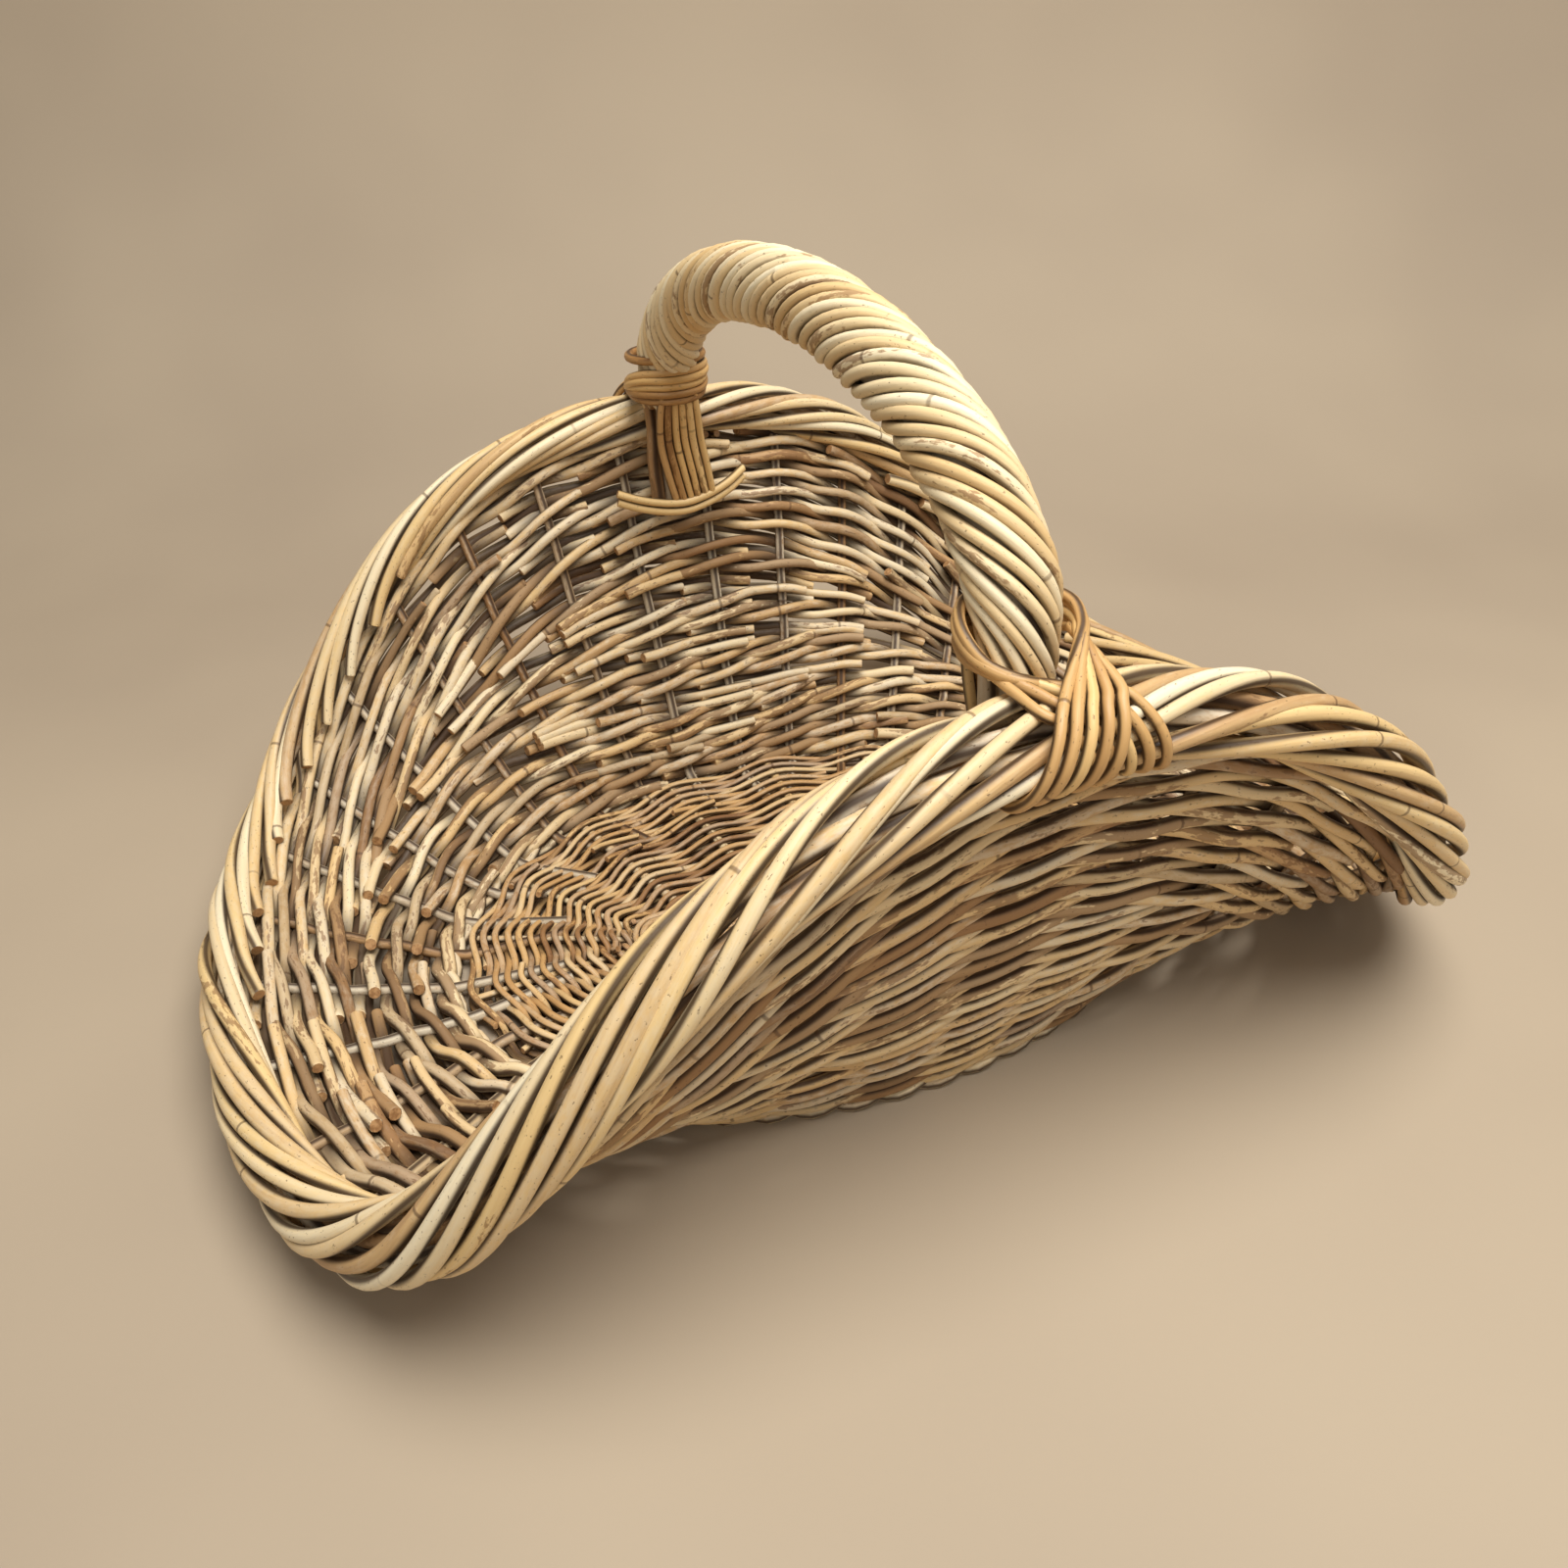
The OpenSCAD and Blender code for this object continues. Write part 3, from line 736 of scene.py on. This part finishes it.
# %% Wall weaving
weave = {(name, band): Bundle(f"{name}_Weave_{band}") for name in REGIONS for band in ("Low", "High")}
foot = Bundle("Foot_Wale")
for (row, strand), pieces in lengths.items():
    for start, end in pieces:
        butt = WALL_R * rng.uniform(0.95, 1.12) * (1.08 if row == 0 else 1)
        tip = butt * rng.uniform(0.8, 0.95)
        path, out, depth = wale_rod(wall_place(row), start, end, WALL_R, WALL_OFF, ROUND)
        thick = np.linspace(butt, tip, len(path))
        where = region_of(((-(start + end) / 2) % STAKES + 0.5) * STAKE_STEP)
        high = "High" if row >= FULL_LOW + SHORT / 2 else "Low"
        bundle = foot if row == 0 else weave[where, high]
        bundle.add(path, thick, out, 10, depth=depth)

# %% [markdown]
# The foot of the wall stands on a roped pair of rods, which fills the corner under the bend of the stakes.

# %% Foot pair
ROPE_R = 3.1 * MM
angles = np.arange(0, 361, 1.5)
for strand in range(2):
    twist = angles * 30 + 180 * strand
    out = base_edge(angles, 1) - base_edge(angles, 0)
    path = base_edge(angles, 4.5 * MM, 2 * ROPE_R + 0.2 * MM)
    path = path + unit(out) * (ROPE_R * cos(twist))[:, None]
    path[:, 2] += ROPE_R * sin(twist)
    foot.add(path, ROPE_R, (0, 0, 1), 10)
foot.build(weathered, "wall_rod", "foot_wale")
for (name, band), bundle in weave.items():
    node = name.lower() + ("_siding" if band == "Low" else "_lining")
    # The lip walls get the darker copy of the weave finish, a painted shade.
    at_a_lip = node.startswith(("left", "right"))
    bundle.build(lip_shade_weave if at_a_lip else weathered, "wall_rod", node)

# %% [markdown]
# ## The border
# Above the wall the stakes, and thick rods laid in with them, are rolled round one another like the
# strands of a rope, outside, over the top, down the inside and under. Eleven strands lie side by side, and
# each goes round the roll six times on its way round the basket. Each strand is made of three rods: a
# new one starts under the roll, and the old one ends there with a butt that stands out a little.
# A twisted rope could be a helix with a fixed radius, but this roll is oval and hangs from a curving rim.
# So each point is found from the rim's own directions: across the wall and up from it.

# %% Oval of the roll
STRANDS, ROLL_TURNS = 11, 6
BORDER_R = 3.75 * MM
ROLL_ACROSS, ROLL_UP = 15.9 * MM, 12.7 * MM
ROLL_STEP = 1.25


def roll_point(a, turn, grow):
    """Points on the oval roll about the rim, at that turn, and the directions out of the roll."""
    along = unit(rim(a + 0.5) - rim(a - 0.5))
    across = wall_normal(1.0 + 0 * a, a)
    up = np.cross(across, along)
    swell = (0.97 + 0.10 * cos(a - 300))[:, None]
    reach = (ROLL_ACROSS * swell + grow[:, None]) * cos(turn)[:, None] * across
    point = rim(a) + reach - (ROLL_UP * swell + grow[:, None]) * sin(turn)[:, None] * up
    return point, unit(cos(turn)[:, None] * across - sin(turn)[:, None] * up)


# %% Border rods
border = {name: Bundle(name + "_Border") for name in REGIONS}
butts = Bundle("Border_Butts")
RODS_OF_STRAND, TURNS_OF_ROD = 3, 2
BUTT_RINGS = 9
turn_step = 360 / ROLL_TURNS
for strand in range(STRANDS):
    under = strand * (turn_step / STRANDS + turn_step * 2) + 9
    for _ in range(RODS_OF_STRAND):
        a0, a1 = under, under + TURNS_OF_ROD * turn_step
        under = a1
        a = np.arange(a0 - 2, a1 - 5, ROLL_STEP)
        turn = 90 - (a - a0) * ROLL_TURNS
        phase = rng.uniform(0, 360, 3)
        turn = turn + 9 * sin(a * 3 + phase[0]) + 7 * sin(a * 7 + phase[1])
        grow = 1.5 * MM * sin(a * 5 + phase[2])
        grow[:4] -= np.array([9, 6, 3, 1]) * MM
        grow[-4:] += np.array([0.5, 1.5, 3, 4.5]) * MM
        path, out = roll_point(a, turn, grow)
        path, out = flow(path, 2), flow(out, 2)
        butt = BORDER_R * rng.uniform(0.94, 1.1)
        thick = np.linspace(butt * 0.92, butt, len(path))
        look = rng.random(3)
        split = len(path) - BUTT_RINGS
        border[region_of((a0 + a1) / 2)].add(path, thick, out, 12, (True, False), (0, split + 1), look)
        butts.add(path, thick, out, 12, (False, True), (split, len(path)), look)
print("border rods:", STRANDS * RODS_OF_STRAND)

# %% [markdown]
# Inside the roll the tops of the stakes run along the rim. They fill it, so no daylight shows through.

# %% Heart of the border
CORE_RODS, CORE_R, CORE_IN = 4, 4.2 * MM, -9 * MM
core = Bundle("Border_Heart")
for strand in range(CORE_RODS):
    a = np.arange(0, 361, 2.5)
    path, out = roll_point(a, strand * 360 / CORE_RODS + a * 5, np.full(len(a), CORE_IN))
    core.add(path, CORE_R, out, 8)
core.build(stained, "border_rod")
for name, bundle in border.items():
    bundle.build(peeled, "border_rod", name.lower() + "_border")
butts.build(peeled, "border_rod", "border_butts")

# %% [markdown]
# ## The handle
# A thick bow is pushed down inside the wall at both sides, with two thin rods beside each leg to wedge it.
# The bow is an ellipse's upper half on two short straight legs, thinner where it goes into the weave.

# %% Bow and liners
LEG_HALF, HANDLE_TOP, LEG_TOP, LEG_FOOT = 200 * MM, 366 * MM, 270 * MM, 196 * MM
BOW_R, WRAP_R, NECK_Z, NECK_H = 12.5 * MM, 19.5 * MM, 267 * MM, 18 * MM


def arch(t):
    """The bow's middle line, from the far foot at 0 degrees over the top to the near foot at 180."""
    t = np.asarray(t, float)
    return np.stack([0 * t, LEG_HALF * cos(t), LEG_TOP + (HANDLE_TOP - LEG_TOP) * sin(t)], -1)


def arch_out(t):
    t = np.asarray(t, float)
    return unit(np.stack([0 * t, (HANDLE_TOP - LEG_TOP) * cos(t), LEG_HALF * sin(t)], -1))


bow = Bundle("Handle_Bow")
leg = np.array([[0, LEG_HALF - 3 * MM, LEG_FOOT], [0, LEG_HALF, LEG_FOOT + 30 * MM], [0, LEG_HALF, 0.26]])
path = flow(np.vstack([leg, arch(np.arange(0, 181, 7.5)), leg[::-1] * (1, -1, 1)]), 3)
thick = np.interp(path[:, 2], [0.196, 0.255, 0.275], [7.2 * MM, 9.5 * MM, BOW_R])
bow.add(path, thick, (1, 0, 0), 16)
bow.build(stained, "stick", "handle_bow")
liners = Bundle("Bow_Liners")
for side in (-1, 1):
    for x in (-12.5 * MM, 12.5 * MM):
        low = LEG_FOOT - 4 * MM
        line = np.linspace([x, side * (LEG_HALF - 1 * MM), low], [x, side * (LEG_HALF - 1 * MM), NECK_Z], 9)
        line[:, 0] += 0.6 * MM * np.sin(np.arange(9) * 1.3)
        liners.add(line, np.linspace(4.5, 4.1, 9) * MM, (1, 0, 0), 12)
liners.build(stained, "stick", "bow_liners")

# %% [markdown]
# ## The wrap
# Fourteen scraped rods are wound round the bow from foot to foot, close together, in long even turns, and
# are drawn in at both feet where the ties hold them. A wrapped rod is a helix about the bow, built from
# the bow's own outward direction, so it never twists. Small waves along each rod keep it hand-made.
# The wrap is split in two at the top, so that each half is an object of a handy size.

# %% Wrapped rods
WRAP_RODS, WRAP_PITCH = 14, 133 * MM
WRAP_ROD_R = 3.05 * MM
t = np.arange(-4, 184.5, 1.5)
centre = arch(t)
run = np.concatenate([[0], np.cumsum(np.linalg.norm(np.diff(centre, axis=0), axis=1))])
drawn_in = 2.2 * MM * np.clip(1.3 - np.minimum(t, 180 - t) / 12, 0, 1)[:, None]
narrowed = 1 - 75 * drawn_in[:, 0]
halves = {"Back": Bundle("Handle_Wrap_Back"), "Front": Bundle("Handle_Wrap_Front")}
for k in range(WRAP_RODS):
    wobble = 3.0 * sin(run * 2600 + rng.uniform(0, 360)) + 2.0 * sin(run * 6100 + rng.uniform(0, 360))
    psi = (k * 360 / WRAP_RODS - run / WRAP_PITCH * 360 + wobble)[:, None]
    out = cos(psi) * np.array([1.0, 0, 0]) + sin(psi) * arch_out(t)
    loose = 0.35 * MM * sin(run * 5000 + rng.uniform(0, 360))[:, None]
    path = centre + (WRAP_R - WRAP_ROD_R + loose - drawn_in) * out
    thick = WRAP_ROD_R * rng.uniform(0.94, 1.05) * np.linspace(1.03, 0.95, len(path)) * narrowed
    look, middle = rng.random(3), len(path) // 2
    halves["Back"].add(path, thick, out, 12, (True, False), (0, middle + 1), look)
    halves["Front"].add(path, thick, out, 12, (False, True), (middle, len(path)), look)
halves["Back"].build(scraped, "handle_rod", "handle_wrap")
halves["Front"].build(scraped, "handle_rod")

# %% [markdown]
# ## The ties
# Five supple rods bind each foot of the handle. Each comes up from under the border on one side, crosses
# it, passes round the inner side of the leg, and goes back over the border on the other side. So the
# inside shows a stack of level turns and the outside shows a cross. One list of points runs the whole way;
# the mesh is then split in three where the rod leaves the leg, which gives the two bands and the turns.
# A knot is hard to sculpt, but easy to describe: here are the two kinds of stretch that it is made of.

# %% Stretches of a tie
TIE_R, TIES = 2.45 * MM, 5
LEG_Y = 199.5 * MM
NECK_R = 22.2 * MM


def tie_crossing(side, way, rank, lift, start, end):
    """Points and outward directions from the leg over the border, out to the side that way gives."""
    turn = np.array([-84, -66, -48, -30, -10, 12, 34, 56, 78, 100])
    share = np.linspace(0, 1, len(turn))
    x = -way * (start + (end - start) * np.minimum(1, 1.5 * share) ** 0.8)
    a = side * (90 - np.degrees(np.arcsin(x / RIM_L)))
    along = unit(rim(a + 0.5) - rim(a - 0.5))
    across = wall_normal(1.0 + 0 * a, a)
    out = cos(turn)[:, None] * across - sin(turn)[:, None] * np.cross(across, along)
    rise = TIE_R - 1.2 * MM + (lift - TIE_R) * np.clip(1.3 - 1.6 * share, 0, 1)
    rise = rise - 3 * MM * np.maximum(0, share - 0.75)
    path = rim(a) + (BORDER_OUT + rise)[:, None] * cos(turn)[:, None] * across
    path = path - (BORDER_UP + rise)[:, None] * sin(turn)[:, None] * np.cross(across, along)
    return path, out


def tie_turn(side, rank, angles, flank):
    """Points round the leg, stacked on its inner side, at angle 0, and bunched together at its flanks."""
    layer = NECK_R + (rank % 2) * 1.0 * MM + 0.5 * MM * rank * np.clip(abs(angles) / 90, 0, 1)
    bunched = np.clip((abs(angles) - 50) / 60, 0, 1)
    height = (3.2 + 4.4 * rank) * MM * (1 - bunched) + (flank + 1.9 * MM * rank) * bunched
    height = height - (2 + 1.6 * rank) * MM * np.clip((abs(angles) - 90) / 60, 0, 2)
    out = np.stack([sin(angles), -side * cos(angles), 0 * angles], -1)
    path = layer[:, None] * out + np.array([0, side * LEG_Y, NECK_Z])
    path[:, 2] += height
    return path, out


# %% Ties
tie_bands = {"over": Bundle("Tie_Over"), "neck": Bundle("Neck_Turns"), "under": Bundle("Tie_Under")}
for side in (-1, 1):
    for rank in range(TIES):
        right = tie_crossing(side, 1, rank, 3 * TIE_R, (-19 + 5.6 * rank) * MM, (-8 + 9.5 * rank) * MM)
        left = tie_crossing(side, -1, rank, TIE_R, (-14 + 9 * rank) * MM, (8 + 8.5 * rank) * MM)
        before = tie_turn(side, rank, np.linspace(118 + 6 * rank, 20, 6), 12 * MM)
        after = tie_turn(side, rank, np.linspace(0, -122 - 20 * rank, 8), 4 * MM)
        round_leg = [np.vstack(both) for both in zip(before, after)]
        path, out = (np.vstack([a[::-1], b, c]) for a, b, c in zip(right, round_leg, left))
        path, out = flow(path, 4), flow(out, 4)
        look = rng.random(3)
        thick = TIE_R * rng.uniform(0.94, 1.08) * np.linspace(1.04, 0.96, len(path))
        cuts = [0, 4 * len(right[0]), 4 * (len(right[0]) + len(round_leg[0]) - 1), len(path) - 1]
        for bundle, first, last in zip(tie_bands.values(), cuts, cuts[1:]):
            ends = (first == 0, last == len(path) - 1)
            bundle.add(path, thick, out, 10, ends, (first, last + 1), look)

# %% [markdown]
# The far foot has one more turn of darker rod above its ties, where the wrap is drawn in.

# %% Dark ring
OLD_ROD = np.array([0.05, 0.9, 0.4])
a = np.arange(0, 400, 10.0)
out = np.stack([sin(a), -cos(a), 0 * a], -1)
ring = (NECK_R + 0.4 * MM) * out + np.array([0, LEG_Y - 1.0 * MM, NECK_Z + 26 * MM])
ring[:, 2] += 1.2 * MM * cos(a) + a / 360 * 1.5 * MM
tie_bands["neck"].add(ring, 1.1 * TIE_R, out, 10, look=OLD_ROD)
tie_bands["over"].build(glossy, "lashing", "lash_over")
tie_bands["under"].build(glossy, "lashing", "lash_under")
tie_bands["neck"].build(glossy, "lashing", "neck_lashing")

# %% [markdown]
# Under the turns the tails of the same rods run down the inner face of the leg, side by side, and cover
# it like a narrow apron. Two more rods are bent round under them and tucked back into the wall at both
# ends, which gives a shallow bow. The tails need only five points each; the bent rods follow a power curve.

# %% Fans down the inside
FAN_RODS, FAN_GAP = 6, 5.4 * MM
BENT_ROD = 0.97
fan = Bundle("Tie_Fans")
for side in (-1, 1):
    for i in range(FAN_RODS):
        x = (i - 2.5) * FAN_GAP
        y = side * (LEG_HALF - 12 * MM)
        line = flow([[0.75 * x, y - side * 8 * MM, NECK_Z + 8 * MM],
                     [0.9 * x, y - side * 6 * MM, NECK_Z - 6 * MM],
                     [x + 2 * MM, y - side * 1 * MM, NECK_Z - 26 * MM],
                     [x + 6 * MM, y + side * 1 * MM, NECK_Z - 46 * MM],
                     [0.95 * x + 10 * MM, y + side * 3 * MM, NECK_Z - (62 + rng.uniform(0, 4)) * MM]], 5)
        fan.add(line, TIE_R * rng.uniform(0.95, 1.1), (0, 1, 0.2), 10)
    for low in (0, 1):
        x = np.linspace(-40, 48, 9) * MM
        sag = 12 * MM * (abs(x - 3 * MM) / (44 * MM)) ** 1.6 - (67 + 6 * low) * MM
        tucked = 9 * MM * (abs(x) / (48 * MM)) ** 3
        line = np.stack([x, side * (LEG_HALF - (10 - low) * MM + tucked), NECK_Z + sag], -1)
        fan.add(flow(line, 4), 1.1 * TIE_R, (0, 1, 0), 10, look=np.array([BENT_ROD, 0.3, rng.random()]))
fan.build(glossy, "lashing", "fan_lashing")

# %% [markdown]
# ## Floor, light and camera
# The basket stands on a plain sweep of warm paper, which curves up behind it so there is no horizon.
# It lies along the camera's direction, so the camera's place is settled first.

# %% Paper sweep
EYE = Vector((-0.2685, -0.5845, 0.5111))
LOOK = Vector((0.332, 0.769, -0.546)).normalized()
ahead = Vector((LOOK.x, LOOK.y, 0)).normalized()
aside = Vector((ahead.y, -ahead.x, 0))
SWEEP_START, SWEEP_R = 1.12, 0.55
profile = [(-1.5, 0.0), (SWEEP_START, 0.0)]
profile += [(SWEEP_START + SWEEP_R * sin(t), SWEEP_R * (1 - cos(t))) for t in range(6, 85, 6)]
profile += [(SWEEP_START + SWEEP_R * sin(84) + 0.2, 3.0)]
under_eye = Vector((EYE.x, EYE.y, 0))
verts = [under_eye + ahead * d + aside * s + Vector((0, 0, h)) for d, h in profile for s in (-3, 3)]
faces = [(2 * i, 2 * i + 1, 2 * i + 3, 2 * i + 2) for i in range(len(profile) - 1)]
paper_mesh = bpy.data.meshes.new("Paper_Sweep")
paper_mesh.from_pydata(verts, [], faces)
paper_mesh.polygons.foreach_set("use_smooth", [True] * len(paper_mesh.polygons))
paper = bpy.data.objects.new("Paper_Sweep", paper_mesh)
bpy.context.collection.objects.link(paper)
paper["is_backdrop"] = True

# %% Paper finish
paper_finish = bpy.data.materials.new("Warm_Paper")
paper_finish.use_nodes = True
tree = paper_finish.node_tree
position = make(tree, "NewGeometry").outputs["Position"]
cloud = noise_on(tree, position, (1.3, 1.3, 1.3), 3.0)
fibre = noise_on(tree, position, (240, 240, 240), 2.0)
shade = blend(tree, fade(tree, cloud, 0.3, 0.7), tint(168, 152, 132), tint(180, 164, 142))
tooth = make(tree, "Bump", {"Height": fibre, "Strength": 0.08, "Distance": 0.0005}).outputs[0]
shader = tree.nodes["Principled BSDF"]
tree.links.new(shade, shader.inputs["Base Color"])
tree.links.new(tooth, shader.inputs["Normal"])
shader.inputs["Roughness"].default_value = 0.8
paper_mesh.materials.append(paper_finish)

# %% [markdown]
# One broad disk of light hangs above and somewhat in front, and gives the soft shadow under the basket.
# A weak second one, farther off in front, opens the shadows on the near wall. The world fills the rest.

# %% Lights
def soft_light(name, where, towards, size, power, colour):
    """A round area light that faces a point. The larger it is, the softer its shadows."""
    lamp = bpy.data.lights.new(name, "AREA")
    lamp.shape = "DISK"
    lamp.size = size
    lamp.energy = power
    lamp.color = colour
    held = bpy.data.objects.new(name, lamp)
    held.location = where
    held.rotation_euler = (Vector(towards) - Vector(where)).to_track_quat("-Z", "Y").to_euler()
    bpy.context.collection.objects.link(held)


soft_light("Overhead", (0.15, -0.55, 1.95), (0.0, 0.0, 0.0), 1.5, 50, (1.0, 0.98, 0.94))
soft_light("Front_Fill", (-0.6, -1.9, 1.3), (0.0, 0.0, 0.1), 1.4, 4, (1.0, 0.97, 0.92))
world = bpy.data.worlds.new("Studio")
world.use_nodes = True
world.node_tree.nodes["Background"].inputs["Color"].default_value = (1.0, 0.95, 0.87, 1)
world.node_tree.nodes["Background"].inputs["Strength"].default_value = 0.3
bpy.context.scene.world = world
bpy.context.scene.view_settings.view_transform = "Standard"

# %% [markdown]
# The camera is a fairly wide lens held close, in front of the basket and to its left, and looks down across
# it. Its matrix is put together from three directions: to the right, up, and backwards along the view.

# %% Camera
HEAD_UP = Vector((0.25, 0.487, 0.837))
camera_data = bpy.data.cameras.new("Camera")
camera_data.lens = 30.07
camera_data.sensor_width = 36
camera = bpy.data.objects.new("Camera", camera_data)
right = LOOK.cross(HEAD_UP).normalized()
above = right.cross(LOOK)
turned = Matrix((right, above, -LOOK)).transposed().to_4x4()
camera.matrix_world = Matrix.Translation(EYE) @ turned
bpy.context.collection.objects.link(camera)
bpy.context.scene.camera = camera
print("camera at", tuple(round(v, 3) for v in EYE))

# %% Sizes and finish
made_box = [list(corner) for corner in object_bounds()]
print("visual box", [[round(v, 4) for v in corner] for corner in made_box])
